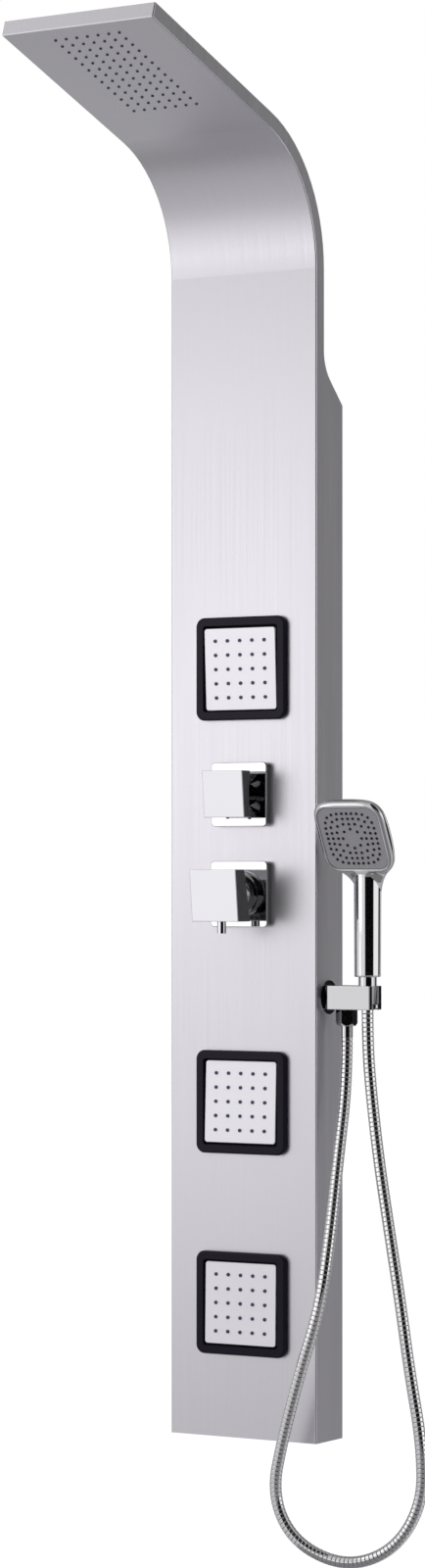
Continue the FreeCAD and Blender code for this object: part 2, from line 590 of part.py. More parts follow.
# ---------------------------------------------------------------- valves behind the panel
def valves():
    """Mixer and diverter bodies, their cartridges, inlets, link pipe, nuts and gaskets."""
    front = "-panel_depth"
    barrel = rod("mixer_barrel", "y", "mixer_barrel", f"{front} + 3", -14, z="mixer_z")
    neck = rod("mixer_neck", "y", "mixer_neck", f"{front} - 6", f"{front} + 3.5", z="mixer_z")
    bar = rod("mixer_crossbar", "x", "mixer_pipe", "-inlet_x", "inlet_x", y="valve_y", z="mixer_z")
    legs = [rod(f"mixer_leg_{side}", "z", "mixer_pipe", "mixer_z - 26", "mixer_z", x=f"{side} * inlet_x",
                y="valve_y")
            for side in (-1, 1)]
    elbows = [ball(f"mixer_elbow_{side}", "mixer_pipe", x=f"{side} * inlet_x", y="valve_y",
                   z="mixer_z") for side in (-1, 1)]
    outlet = rod("mixer_outlet", "z", "link_radius + 1", "mixer_z + 20", "mixer_z + 34", y="valve_y")
    bores = [
        rod("mixer_chamber", "y", 17.6, f"{front} - 7", -22, z="mixer_z"),
        rod("mixer_cross_bore", "x", "mixer_pipe_bore", "-inlet_x", "inlet_x", y="valve_y", z="mixer_z"),
        rod("mixer_outlet_bore", "z", "link_bore", "mixer_z + 10", "mixer_z + 35", y="valve_y"),
    ]
    bores += [rod(f"mixer_leg_bore_{side}", "z", "mixer_pipe_bore", "mixer_z - 27", "mixer_z",
                  x=f"{side} * inlet_x", y="valve_y")
              for side in (-1, 1)]
    body = fuse("mixer_body_whole", barrel, neck, bar, *legs, *elbows, outlet)
    node("mixer_valve_body", cut("mixer_valve_body", body, *bores))

    cartridge = rod("cartridge_body", "y", 17.4, f"{front} - 9", -26, z="mixer_z")
    spindle_seat = rod("cartridge_top", "y", 11, f"{front} - 12.5", f"{front} - 8", z="mixer_z")
    cartridge_bore = rod("cartridge_bore", "y", 7, -50, -25, z="mixer_z")
    node("mixer_cartridge", cut("mixer_cartridge", fuse("cartridge_whole", cartridge, spindle_seat),
                                cartridge_bore))

    nipples = []
    for name, side in (("hot", -1), ("cold", 1)):
        x = f"{side} * inlet_x"
        collar = hexagon(f"{name}_collar", "z", 26, "mixer_z - 32", "mixer_z - 26", x=x, y="valve_y")
        thread = rod(f"{name}_thread", "z", "inlet_thread", "mixer_z - 46", "mixer_z - 32", x=x, y="valve_y")
        bore = rod(f"{name}_bore", "z", 7.5, "mixer_z - 47", "mixer_z - 25", x=x, y="valve_y")
        nipples.append(cut(f"{name}_nipple", fuse(f"{name}_whole", collar, thread), bore))
    node("inlet_nipples", group("inlet_nipples", *nipples))

    link = rod("link_outer", "z", "link_radius", "mixer_z + 34", "diverter_z - 32", y="valve_y")
    link_bore = rod("link_hollow", "z", "link_bore", "mixer_z + 33", "diverter_z - 31", y="valve_y")
    node("valve_link_pipe", cut("valve_link_pipe", link, link_bore))

    barrel = rod("diverter_barrel", "y", "diverter_barrel", f"{front} + 3", -16, z="diverter_z")
    neck = rod("diverter_neck", "y", "diverter_neck", f"{front} - 6", f"{front} + 3.5", z="diverter_z")
    ports = [
        rod("diverter_inlet", "z", "link_radius + 1", "diverter_z - 32", "diverter_z - 15", y="valve_y"),
        rod("diverter_jet_port", "z", "pipe_outer", "diverter_z + 15", "diverter_z + 30", y="ports_y"),
        rod("diverter_side_ports", "x", "pipe_outer", -40, 40, y="ports_y", z="diverter_z"),
    ]
    bores = [
        rod("diverter_chamber", "y", 14, f"{front} - 7", -22, z="diverter_z"),
        rod("diverter_inlet_bore", "z", "link_bore", "diverter_z - 33", "diverter_z - 10", y="valve_y"),
        rod("diverter_jet_bore", "z", "pipe_bore", "diverter_z + 10", "diverter_z + 31", y="ports_y"),
        rod("diverter_side_bore", "x", "pipe_bore", -41, 41, y="ports_y", z="diverter_z"),
    ]
    node("diverter_valve_body", cut("diverter_valve_body", fuse("diverter_body_whole", barrel, neck, *ports),
                                    *bores))
    core = rod("diverter_core", "y", 13.8, f"{front} - 4", -40, z="diverter_z")
    core_bore = rod("diverter_core_bore", "y", 5.4, f"{front} - 5", f"{front} + 12", z="diverter_z")
    node("diverter_cartridge", cut("diverter_cartridge", core, core_bore))

    nuts, gaskets = [], []
    for name in ("mixer", "diverter"):
        neck_radius, z = f"{name}_neck", f"{name}_z"
        outer = hexagon(f"{name}_nut_hex", "y", f"2 * {neck_radius} + 12", f"{front} - 6", f"{front} - 2",
                        z=z)
        hole = rod(f"{name}_nut_hole", "y", neck_radius, f"{front} - 7", f"{front} - 1", z=z)
        nuts.append(cut(f"{name}_nut", outer, hole))
        ring = rod(f"{name}_gasket_ring", "y", f"{neck_radius} + 7", f"{front} - 2", front, z=z)
        hole = rod(f"{name}_gasket_hole", "y", neck_radius, f"{front} - 3", f"{front} + 1", z=z)
        gaskets.append(cut(f"{name}_gasket", ring, hole))
    node("valve_lock_nuts", group("valve_lock_nuts", *nuts))
    node("escutcheon_gaskets", group("escutcheon_gaskets", *gaskets))


def escutcheon(name, plate, z, opening):
    """A hollow square cover plate around a control."""
    cap = rounded_plate(f"{name}_cap", plate, plate, "plate_proud", "plate_round", 1.2, y="-panel_depth", z=z)
    room = rounded_plate(f"{name}_room", f"{plate} - 5", f"{plate} - 5", "plate_proud - 2.5", 3,
                         y="-panel_depth + 1", z=z)
    hole = rod(f"{name}_hole", "y", opening, "-panel_depth - 12", "-panel_depth", z=z)
    node(name, cut(name, cap, room, hole))


# ---------------------------------------------------------------- diverter knob
def leaning_block(name, height, width, front, control, z):
    """A square block with a front that leans forward at the top and its own depth at top and bottom."""
    reach = f"{height} / 2 * tan({control}_lean)"
    half = f"{height} / 2"
    side = [
        (f"{front} + {reach}", f"-{half}"),
        (f"{front} + {reach} + {control}_bottom", f"-{half}"),
        (f"{front} - {reach} + {control}_top", half),
        (f"{front} - {reach}", half),
    ]
    body = doc.addObject("PartDesign::Body", name)
    last = pad(body, outline_sketch(body, f"{name}_side", "YZ_Plane", side), f"{name}_pad", width,
               midplane=True)
    fillet(body, last, f"{name}_edges", lambda m, d, e: True, 0.8)
    return place(body, 0, 0, z)


def diverter_control():
    """The square knob, its stem and its set screw: one turning group."""
    escutcheon("diverter_escutcheon", "diverter_plate", "diverter_z", 13)
    front = "(-panel_depth - diverter_front)"
    back = f"({front} + (diverter_top + diverter_bottom) / 2)"
    screw_y = f"{front} + knob_screw"
    cube = leaning_block("knob_block", "diverter_knob", "diverter_knob", front, "diverter", "diverter_z")
    groove = rod("knob_back_groove", "x", "groove_radius", "-diverter_knob", "diverter_knob",
                 y=f"{back} + groove_radius - groove_depth", z="diverter_z")
    bore = rod("knob_bore", "y", 6, f"{front} + 8", f"{back} + 1", z="diverter_z")
    screw_hole = rod("knob_screw_hole", "z", "set_screw", "diverter_z - diverter_knob", "diverter_z",
                     y=screw_y)
    node("diverter_knob", cut("diverter_knob", cube, groove, bore, screw_hole))
    collar = rod("stem_collar", "y", 12.5, f"{back} - groove_depth + 0.8", "-panel_depth - 10.4",
                 z="diverter_z")
    spindle = rod("stem_spindle", "y", 6, f"{front} + 8", "-panel_depth - 10.4", z="diverter_z")
    tail = rod("stem_tail", "y", 5, "-panel_depth - 11", "-panel_depth + 10", z="diverter_z")
    pocket = rod("stem_screw_pocket", "z", "set_screw", "diverter_z - 20", "diverter_z - 4", y=screw_y)
    node("diverter_stem", cut("diverter_stem", fuse("stem_whole", collar, spindle, tail), pocket))
    screw = rod("set_screw_body", "z", "set_screw", "diverter_z - diverter_knob / 2 - 1.4", "diverter_z - 4",
                y=screw_y)
    socket = rod("set_screw_socket", "z", 1.2, "diverter_z - diverter_knob / 2 - 2",
                 "diverter_z - diverter_knob / 2 + 2", y=screw_y)
    node("diverter_set_screw", cut("diverter_set_screw", screw, socket))


# ---------------------------------------------------------------- mixer lever
def mixer_control():
    """The dome that turns for temperature, and the lever block that lifts for flow."""
    escutcheon("mixer_escutcheon", "mixer_plate", "mixer_z", 23)
    centre = "(-panel_depth - dome_proud)"
    sphere = ball("dome_outer", "dome_radius", y=centre, z="mixer_z")
    inner = ball("dome_inner", "dome_radius - dome_wall", y=centre, z="mixer_z")
    base = block("dome_base", (-40, 40), ("-panel_depth - 10.3", 0), ("mixer_z - 40", "mixer_z + 40"))
    slot = block("dome_slot", (-4.8, 4.8), (f"{centre} - 40", f"{centre} - 12"),
                 ("mixer_z - 5", "mixer_z + 19"))
    node("mixer_dome", cut("mixer_dome", sphere, inner, base, slot))

    front = "(-panel_depth - handle_front)"
    body = leaning_block("handle_block", "handle_size", "handle_size + 2", front, "handle", "mixer_z - 1.5")
    recess = ball("handle_recess", "dome_radius + 0.35", y=centre, z="mixer_z")
    stem_bore = rod("handle_stem_bore", "y", 4, f"{front} + 7", centre, z="mixer_z")
    lever_y = f"({front} + handle_size / 2 * tan(handle_lean) + handle_bottom / 2 + 1)"
    low = "(mixer_z - 1.5 - handle_size / 2)"
    lever_bore = rod("handle_lever_bore", "z", "lever_radius", f"{low} - 5", f"{low} + 6", y=lever_y)
    node("mixer_handle", cut("mixer_handle", body, recess, stem_bore, lever_bore))
    pin = rod("lever_pin", "z", "lever_radius", f"{low} - lever_length", f"{low} + 6", y=lever_y)
    node("mixer_lever_pin", pin)
    stem = rod("lever_stem", "y", 4, f"{front} + 7", f"{centre} - 2", z="mixer_z")
    stem_ball = ball("lever_stem_ball", 4.5, y=f"{centre}", z="mixer_z")
    node("mixer_stem", fuse("mixer_stem", stem, stem_ball))


# ---------------------------------------------------------------- body jets
def jet_fixed(number):
    """A jet's bezel and the tray behind it, fixed to the front sheet."""
    z = f"jet_{number}_z"
    tag = f"jet_{number}"
    front = "-panel_depth"
    ring = rounded_plate(f"{tag}_ring", "bezel_size", "bezel_size", "bezel_proud", "bezel_round", 2.2,
                         y=front, z=z)
    opening = rounded_plate(f"{tag}_opening", "bezel_opening", "bezel_opening", "bezel_proud + 2", 4,
                            y=f"{front} + 1", z=z)
    seat = rounded_plate(f"{tag}_seat", "flange_size + 0.6", "flange_size + 0.6", "flange_depth + 1", 9,
                         y=f"{front} + 1", z=z)
    pilots = [rod(f"{tag}_pilot", "y", 1.5, f"{front} - 5", front, x=f"{sx} * bezel_screw_place",
                  z=f"{z} + {sz} * bezel_screw_place") for sx in (-1, 1) for sz in (-1, 1)]
    node(f"{tag}_bezel", cut(f"{tag}_bezel", ring, opening, seat, *pilots))

    flange = rounded_plate(f"{tag}_flange", "flange_size", "flange_size", "flange_depth", 8.5, y=front, z=z)
    tray = rounded_plate(f"{tag}_tray", "tray_size", "tray_size", "tray_depth + 0.5", "tray_round",
                         y=f"{front} + tray_depth", z=z)
    hollow = rounded_plate(f"{tag}_tray_hollow", "tray_size - 2 * tray_wall", "tray_size - 2 * tray_wall",
                           "tray_depth + 5", "tray_round - tray_wall",
                           y=f"{front} + tray_depth - tray_floor", z=z)
    ball_y = f"({front} + ball_depth)"
    socket = rod(f"{tag}_socket", "y", "socket_outer", f"{ball_y} - 7", f"{ball_y} + 13", z=z)
    tail = rod(f"{tag}_tail", "y", "tail_radius", f"{ball_y} + 12.5", f"{ball_y} + 22", z=z)
    cavity = ball(f"{tag}_cavity", "socket_inner", y=ball_y, z=z)
    bore = rod(f"{tag}_tail_bore", "y", "tail_bore", ball_y, f"{ball_y} + 23", z=z)
    flange_holes = [rod(f"{tag}_flange_hole", "y", 1.7, f"{front} - 3", f"{front} + 1",
                        x=f"{sx} * bezel_screw_place", z=f"{z} + {sz} * bezel_screw_place")
                    for sx in (-1, 1) for sz in (-1, 1)]
    shell = cut(f"{tag}_tray_shell", fuse(f"{tag}_tray_whole", flange, tray), hollow)
    whole = fuse(f"{tag}_housing_whole", shell, socket, tail)
    node(f"{tag}_housing", cut(f"{tag}_housing", whole, cavity, bore, *flange_holes))

    screws = []
    for sx in (-1, 1):
        for sz in (-1, 1):
            x, height = f"{sx} * bezel_screw_place", f"{z} + {sz} * bezel_screw_place"
            head = rod(f"{tag}_screw_head", "y", 2.8, f"{front} + steel", f"{front} + steel + 2", x=x,
                       z=height)
            shank = rod(f"{tag}_screw_shank", "y", 1.5, f"{front} - 4.5", f"{front} + steel", x=x, z=height)
            screws.append(fuse(f"{tag}_screw", head, shank))
    return screws


def jet_moving(number):
    """A jet's ball liner, and the spray body, face plate and nozzle mat that swivel with the ball.

    These are built about the ball's centre and turned to the angle they are aimed at.
    """
    tag = f"jet_{number}"
    aim = size(f"jet_{number}_aim")

    def aimed(item):
        item.Placement = FreeCAD.Placement(Vector(), FreeCAD.Rotation(X_AXIS, aim))
        return bind(item, Placement__Base__y="ball_depth - panel_depth", Placement__Base__z=f"jet_{number}_z")

    zone = rod(f"{tag}_liner_zone", "y", 14, -5, 5)
    liner = common(f"{tag}_liner_solid", ball(f"{tag}_liner_ball", "liner_outer"), zone)
    liner_hollow = ball(f"{tag}_liner_hollow", "liner_inner")
    liner_node = cut(f"{tag}_ball_liner", liner, liner_hollow)
    bind(liner_node, Placement__Base__y="ball_depth - panel_depth", Placement__Base__z=f"jet_{number}_z")
    node(f"{tag}_ball_liner", liner_node)

    sphere = ball(f"{tag}_ball", "ball_radius")
    rear = "(-pad_front + pad_plate + 1.5)"
    stem = rod(f"{tag}_stem", "y", 4.5, f"{rear} + 1.5", -8)
    plate = rounded_plate(f"{tag}_spray_plate", "pad_size - 4", "pad_size - 4", 2, 3, y=f"{rear} + 2")
    pocket = rounded_plate(f"{tag}_spray_pocket", "pad_size - 10", "pad_size - 10", 3, 2, y=f"{rear} + 0.9")
    water = rod(f"{tag}_water_bore", "y", 2.6, -17, 12)
    spray = fuse(f"{tag}_spray_whole", sphere, stem, cut(f"{tag}_spray_cover", plate, pocket))
    node(f"{tag}_spray_body", aimed(cut(f"{tag}_spray_body", spray, water)))

    count = int(size("jet_columns"))
    face = rounded_plate(f"{tag}_face", "pad_size", "pad_size", "pad_plate", 3.5, 0.6,
                         y="-pad_front + pad_plate")
    holes = grid(f"{tag}_face_holes", count, count, size("jet_pitch"), size("jet_pitch"),
                 size("jet_nozzle") + 0.1,
                 -size("pad_front") - 1, -size("pad_front") + size("pad_plate") + 1)
    node(f"{tag}_face_plate", aimed(cut(f"{tag}_face_plate", face, holes)))
    mat = rounded_plate(f"{tag}_mat", "pad_size - 6", "pad_size - 6", 1.5, 2, y=rear)
    tips = grid(f"{tag}_mat_tips", count, count, size("jet_pitch"), size("jet_pitch"), size("jet_nozzle"),
                -size("pad_front") - 1.0, -size("pad_front") + size("pad_plate") + 0.1)
    node(f"{tag}_nozzle_mat", aimed(fuse(f"{tag}_nozzle_mat", mat, tips)))


def jet_plumbing():
    """The tees behind the jets and the hoses that join them to the diverter."""
    tail_end = size("ball_depth") + 22 - size("panel_depth")
    tee_y = tail_end + 8
    tees = []
    for number, down, up in ((1, "tee_run", "tee_run / 2"), (2, "tee_run", "tee_run"),
                             (3, "tee_run / 2", "tee_run")):
        z = f"jet_{number}_z"
        pieces = [rod(f"tee_{number}_stub", "y", "tail_radius", tail_end, tee_y, z=z),
                  rod(f"tee_{number}_run", "z", "tee_radius", f"{z} - {down}", f"{z} + {up}", y=tee_y),
                  ball(f"tee_{number}_centre", "tail_radius", y=tee_y, z=z)]
        low = 0 if number == 3 else f"{down} + 1"
        high = 0 if number == 1 else f"{up} + 1"
        bores = [rod(f"tee_{number}_stub_bore", "y", "tail_bore", tail_end - 1, tee_y, z=z),
                 rod(f"tee_{number}_bore", "z", "pipe_bore", f"{z} - ({low})", f"{z} + {high}", y=tee_y)]
        if number == 1:
            pieces.append(rod("tee_1_side", "x", "tee_radius", "-tee_run - 1", 0, y=tee_y, z=z))
            bores.append(rod("tee_1_side_bore", "x", "pipe_bore", "-tee_run - 2", 0, y=tee_y, z=z))
        tees.append(cut(f"tee_{number}", fuse(f"tee_{number}_whole", *pieces), *bores))
    node("jet_tees", group("jet_tees", *tees))

    jet_1, jet_2, jet_3 = (size(f"jet_{number}_z") for number in (1, 2, 3))
    run, ports_y, port_end = size("tee_run"), size("ports_y"), size("diverter_z") + 30
    feed = pipe("jet_feed_hose", [(0, ports_y, port_end), (0, ports_y, 215), (0, tee_y, 250),
                                  (0, tee_y, jet_1 - run)], [30, 30])
    down = pipe("jet_down_hose", [(-run - 1, tee_y, jet_1), (-84, tee_y, jet_1), (-84, tee_y, -110),
                                  (0, tee_y, -160), (0, tee_y, jet_2 + run)], [30, 30, 18])
    link = pipe("jet_link_hose", [(0, tee_y, jet_2 - run), (0, tee_y + 2, (jet_2 + jet_3) / 2),
                                  (0, tee_y, jet_3 + run)], [300])
    node("jet_hoses", group("jet_hoses", feed, down, link))


# ---------------------------------------------------------------- side holder and outlet
def side_holder():
    """The holder on the column's side: flange, block with cradle and outlet, and what feeds it."""
    side = "panel_width / 2"
    y, z = "holder_y", "holder_z"
    disc_plate = rod("flange_disc", "x", "flange_radius", side, f"{side} + 1.8", y=y, z=z)
    collar = block("flange_collar", (f"{side} + 1.5", "holder_start"),
                   (f"{y} - holder_width / 2 + 2", f"{y} + holder_width / 2 - 2"),
                   (f"{z} - holder_height / 2 + 2", f"{z} + holder_height / 2 - 2"))
    nipple_hole = rod("flange_bore", "x", 8, f"{side} - 1", "holder_start + 1", y=y, z=z)
    node("holder_flange", cut("holder_flange", fuse("holder_flange_whole", disc_plate, collar), nipple_hole))

    body = doc.addObject("PartDesign::Body", "holder_bar")
    low, high = "-holder_width / 2", "holder_width / 2"
    sketch = outline_sketch(body, "holder_outline", "XY_Plane",
                            [("holder_start", low), ("holder_end", low), ("holder_end", high),
                             ("holder_start", high)])
    last = pad(body, sketch, "holder_pad", "holder_height")
    last = fillet(body, last, "holder_edges", lambda m, d, e: True, 0.8)
    place(body, 0, y, f"{z} - holder_height / 2")
    cradle = rod("cradle_bore", "z", "cone_bottom + 0.35", f"{z} - holder_height / 2 - 0.01",
                 f"{z} + holder_height / 2 + 0.01", x="cradle_x", y=y, top_radius="cone_top + 0.55")
    slot = block("cradle_slot", ("cradle_x", "holder_end + 1"),
                 (f"{y} - slot_width / 2", f"{y} + slot_width / 2"),
                 (f"{z} - holder_height", f"{z} + holder_height"))
    water = rod("holder_water", "x", 5.5, "holder_start - 1", "outlet_x + 3", y=y, z=z)
    drop = rod("holder_drop", "z", 8, f"{z} - holder_height / 2 - 1", z, x="outlet_x", y=y)
    node("holder_block", cut("holder_block", body, cradle, slot, water, drop))

    bottom = f"({z} - holder_height / 2)"
    nipple = rod("outlet_nipple_thread", "z", 8, f"{bottom} - 12", f"{bottom} + 8", x="outlet_x", y=y)
    nipple_bore = rod("outlet_nipple_bore", "z", 5, f"{bottom} - 13", f"{bottom} + 9", x="outlet_x", y=y)
    node("hose_outlet_nipple", cut("hose_outlet_nipple", nipple, nipple_bore))

    nut = hexagon("outlet_nut_hex", "z", 25.4, f"{bottom} - nut_height - 0.3", f"{bottom} - 0.3",
                  x="outlet_x", y=y)
    place(nut, "outlet_x", y, f"{bottom} - nut_height - 0.3", Z_AXIS, 30)
    top_taper = rod("outlet_nut_taper", "z", 10.6, f"{bottom} - nut_height - 0.3", f"{bottom} - 0.3",
                    x="outlet_x", y=y, top_radius=22)
    nut_bore = rod("outlet_nut_bore", "z", 8, f"{bottom} - nut_height + 5", bottom, x="outlet_x", y=y)
    nut_hole = rod("outlet_nut_hole", "z", 6, f"{bottom} - nut_height - 1", bottom, x="outlet_x", y=y)
    node("hose_outlet_nut", cut("hose_outlet_nut", common("outlet_nut_shaped", nut, top_taper), nut_bore,
                                nut_hole))
    ferrule_top = f"({bottom} - nut_height - 0.3)"
    ferrule = rod("ferrule_outer", "z", "hose_radius + 0.2", f"{ferrule_top} - ferrule_height", ferrule_top,
                  x="outlet_x", y=y)
    ferrule_bore = rod("ferrule_bore", "z", "hose_bore", f"{ferrule_top} - ferrule_height - 1",
                       f"{ferrule_top} + 1", x="outlet_x", y=y)
    node("hose_outlet_ferrule", cut("hose_outlet_ferrule", ferrule, ferrule_bore))

    elbow = fuse("holder_elbow_whole",
                 rod("elbow_through", "x", "elbow_radius", "elbow_x", "holder_start", y=y, z=z),
                 ball("elbow_corner", "elbow_radius", x="elbow_x", y=y, z=z),
                 rod("elbow_up", "z", "elbow_radius", z, f"{z} + 18", x="elbow_x", y=y),
                 hexagon("elbow_nut", "x", 24, f"{side} - 5.2", f"{side} - steel", y=y, z=z))
    node("holder_inlet_elbow", cut("holder_inlet_elbow", elbow,
                                   rod("elbow_bore_x", "x", "tail_bore", "elbow_x", "holder_start + 1", y=y,
                                       z=z),
                                   rod("elbow_bore_z", "z", "tail_bore", z, f"{z} + 19", x="elbow_x", y=y)))
    diverter_z, elbow_x, holder_y = size("diverter_z"), size("elbow_x"), size("holder_y")
    points = [(40, size("ports_y"), diverter_z), (elbow_x, size("ports_y"), diverter_z),
              (elbow_x, holder_y, 60), (elbow_x, holder_y, size("holder_z") + 18)]
    node("handset_supply_hose", pipe("handset_supply_hose", points, [24, 200]))


# ---------------------------------------------------------------- the free hose
HOSE_ROUTE = (
    (125.3, -34.5, -134.3), (125.3, -34.5, -190), (125.3, -54.5, -275), (128.3, -78.5, -362),
    (124.3, -95.5, -445), (97.3, -96.5, -525), (73.3, -93.5, -600), (57.3, -91.5, -668),
    (83.3, -87.5, -722), (145.3, -75.5, -748), (203.3, -62.5, -727), (238.3, -55.5, -670),
    (236.3, -55.5, -598), (220.3, -54.5, -520), (206.3, -51.5, -440), (189.3, -46.5, -360),
    (171.3, -40.5, -275), (158.3, -35.5, -195), (153.3, -34.5, -140), (153.3, -34.5, -95.6),
)


def shower_hose():
    """The ribbed hose: ribs and bore along the route, from the outlet's ferrule to the cone nut."""
    points = [Vector(*point) for point in HOSE_ROUTE]
    edges, radii = route_edges(points)
    lengths = [edge.Length for edge in edges]
    total = sum(lengths)

    def station(distance):
        """The point and direction at a distance along the route."""
        for edge, length in zip(edges, lengths):
            if distance <= length or edge is edges[-1]:
                distance = min(distance, length)
                at = edge.FirstParameter + (edge.LastParameter - edge.FirstParameter) * distance / length
                return edge.valueAt(at), edge.tangentAt(at)
            distance -= length

    def skin_of(stations):
        """The side faces, facing out, of a ruled loft through discs at stations."""
        loft = Part.makeLoft([disc(*station(place_at), radius) for place_at, radius in stations], True, True)
        if loft.Volume < 0:
            loft.reverse()
        return [face for face in loft.Faces if not isinstance(face.Surface, Part.Plane)]

    crest, valley, bore = size("hose_radius"), size("hose_valley"), size("hose_bore")
    ribs = int(size("hose_ribs"))
    pitch = total / ribs
    faces = []
    for rib in range(ribs):
        start, end = rib * pitch, (rib + 1) * pitch
        shares = ((start, valley), (start + 0.3 * pitch, crest), (start + 0.7 * pitch, crest), (end, valley))
        faces += skin_of(shares)
        faces += [face.reversed() for face in skin_of(((start, bore), (end, bore)))]
    for place_at, side in ((0, -1), (total, 1)):
        centre, tangent = station(place_at)
        cap = Part.Face([disc(centre, tangent, valley), disc(centre, tangent, bore)],
                        "Part::FaceMakerBullseye")
        if cap.normalAt(0, 0).dot(tangent) * side < 0:
            cap.reverse()
        faces.append(cap)
    skin = Part.Shell(faces)
    skin.sewShape()
    solid = Part.Solid(skin)
    item = doc.addObject("Part::Feature", "shower_hose")
    item.Shape = solid
    node("shower_hose", item)
    least = min((points[i].distanceToPoint(points[j]) for i in range(len(points))
                 for j in range(i + 3, len(points))))
    mean = 0.7 * (crest + valley) / 2 + 0.3 * crest
    tube = math.pi * (mean ** 2 - bore ** 2) * total
    print("hose length", round(total, 1), "radii", [round(radius, 1) for radius in radii])
    print("hose least distance between its legs", round(least - 2 * crest, 1),
          "rib pitch", round(pitch, 2), "gap between crests", round(0.6 * pitch, 2))
    print("hose volume", round(solid.Volume), "of about", round(tube), "valid", solid.isValid())


# ---------------------------------------------------------------- hand shower
def on_face(item):
    """Place an object built about the spray face's centre, its front towards -Y, at the head's tilt."""
    item.Placement = FreeCAD.Placement(Vector(), FreeCAD.Rotation(X_AXIS, size("head_tilt")))
    return bind(item, Placement__Base__x="cradle_x", Placement__Base__y="face_y", Placement__Base__z="face_z")


def hand_shower():
    """The hand shower's shell, face plate, nozzle mat and hose end, and the cone nut it turns on."""
    x, y = "cradle_x", "holder_y"
    grip = rod("grip", "z", "grip_radius", "grip_bottom", "grip_top", x=x, y=y,
               top_radius="grip_radius + 0.6")
    head = rounded_plate("head_block", "head_size", "head_size", "head_deep", "head_round", 6,
                         y="head_deep - 2")
    dished = ball("head_dish", "dish_radius", y="head_deep - 2.4 - dish_radius")
    head_shape = on_face(common("head_shape", head, dished))
    flared = doc.addObject("PartDesign::Body", "head_neck")
    half = "head_size / 2"
    flare = [(f"-{half} + 7", "-24"), (f"-{half} + 10", "-38"), ("-20", "-52"), ("-grip_radius", "-66"),
             ("grip_radius", "-66"), ("20", "-52"), (f"{half} - 10", "-38"), (f"{half} - 7", "-24")]
    last = pad(flared, outline_sketch(flared, "neck_outline", "XZ_Plane", flare), "neck_pad", 16)
    fillet(flared, last, "neck_edges", lambda m, d, e: abs(d.y) < 0.01 and m.z < -25, 3)
    place(flared, y="18.5")
    neck = on_face(group("neck_place", flared))
    whole = fuse("handset_whole", grip, head_shape, neck)
    recess = on_face(group("recess_place",
                           rounded_plate("face_recess", "face_size + 0.4", "face_size + 0.4", 8,
                                                         "face_round + 0.2", y="4")))
    chamber = on_face(group("face_chamber",
                            rounded_plate("face_chamber_box", "face_size - 12", "face_size - 12",
                                                          "chamber_deep", 12, y="chamber_deep + 1")))
    bore = rod("grip_bore", "z", 12.5, "grip_bottom - 1", "grip_top - 10", x=x, y=y)
    node("handset_shell", cut("handset_shell", whole, recess, chamber, bore))

    plate = rounded_plate("handset_plate", "face_size", "face_size", 2, "face_round", 0.5, y="1.2")
    rings = nozzle_rings()
    holes = doc.addObject("Part::Feature", "handset_holes")
    tip = size("tip_radius")
    holes.Shape = Part.Compound([Part.makeCylinder(tip + 0.1, 6, Vector(u, -3, v), Y_AXIS) for u, v in rings])
    node("handset_face_plate", on_face(cut("handset_face_plate", plate, holes)))
    mat = rounded_plate("handset_mat", "face_size - 3", "face_size - 3", 1.4, "face_round - 1.5", y="2.6")
    tips = doc.addObject("Part::Feature", "handset_tips")
    tips.Shape = Part.Compound([Part.makeCylinder(tip, 2.9, Vector(u, -1.5, v), Y_AXIS) for u, v in rings])
    node("handset_nozzle_mat", on_face(fuse("handset_nozzle_mat", mat, tips)))

    insert = rod("end_insert", "z", 12.5, "grip_bottom", "grip_bottom + 14", x=x, y=y)
    thread = rod("end_thread", "z", 7.6, "grip_bottom - 8", "grip_bottom + 1", x=x, y=y)
    insert_bore = rod("end_bore", "z", 5, "grip_bottom - 9", "grip_bottom + 15", x=x, y=y)
    node("handset_end_fitting", cut("handset_end_fitting", fuse("end_whole", insert, thread), insert_bore))

    cone_low = "(holder_z - holder_height / 2 + 6.7)"
    shoulder = "(holder_z + holder_height / 2)"
    taper = rod("cone_taper", "z", "cone_bottom + 0.5", cone_low, shoulder, x=x, y=y, top_radius="cone_top")
    sleeve = rod("cone_sleeve", "z", "cone_top", shoulder, "grip_bottom - 0.3", x=x, y=y)
    thread_room = rod("cone_thread_room", "z", 7.9, "grip_bottom - 9", "grip_bottom", x=x, y=y)
    cone_bore = rod("cone_bore", "z", 5.5, f"{cone_low} - 1", "grip_bottom", x=x, y=y)
    node("hose_cone_nut", cut("hose_cone_nut", fuse("cone_whole", taper, sleeve), thread_room, cone_bore))


def nozzle_rings():
    """Nozzle places on the spray face: three rounded-square rings of 32, 24 and 16, and a circle of 8."""
    places = []
    for count, half, power in ((32, 32.3, 4), (24, 25.6, 4.2), (16, 18.7, 4.2), (8, 12.3, 2)):
        for i in range(count):
            turn = 2 * math.pi * i / count
            across, up = math.cos(turn), math.sin(turn)
            reach = (abs(across) ** power + abs(up) ** power) ** (-1 / power)
            places.append((half * reach * across, half * reach * up))
    return places


# ---------------------------------------------------------------- build and write
front_shell()
rear_cover()
wall_fixing()
rain_head()
valves()
diverter_control()
mixer_control()
bezel_screws = []
for jet in (1, 2, 3):
    bezel_screws += jet_fixed(jet)
    jet_moving(jet)
node("jet_bezel_screws", group("jet_bezel_screws", *bezel_screws))
jet_plumbing()
side_holder()
shower_hose()
hand_shower()
doc.recompute()

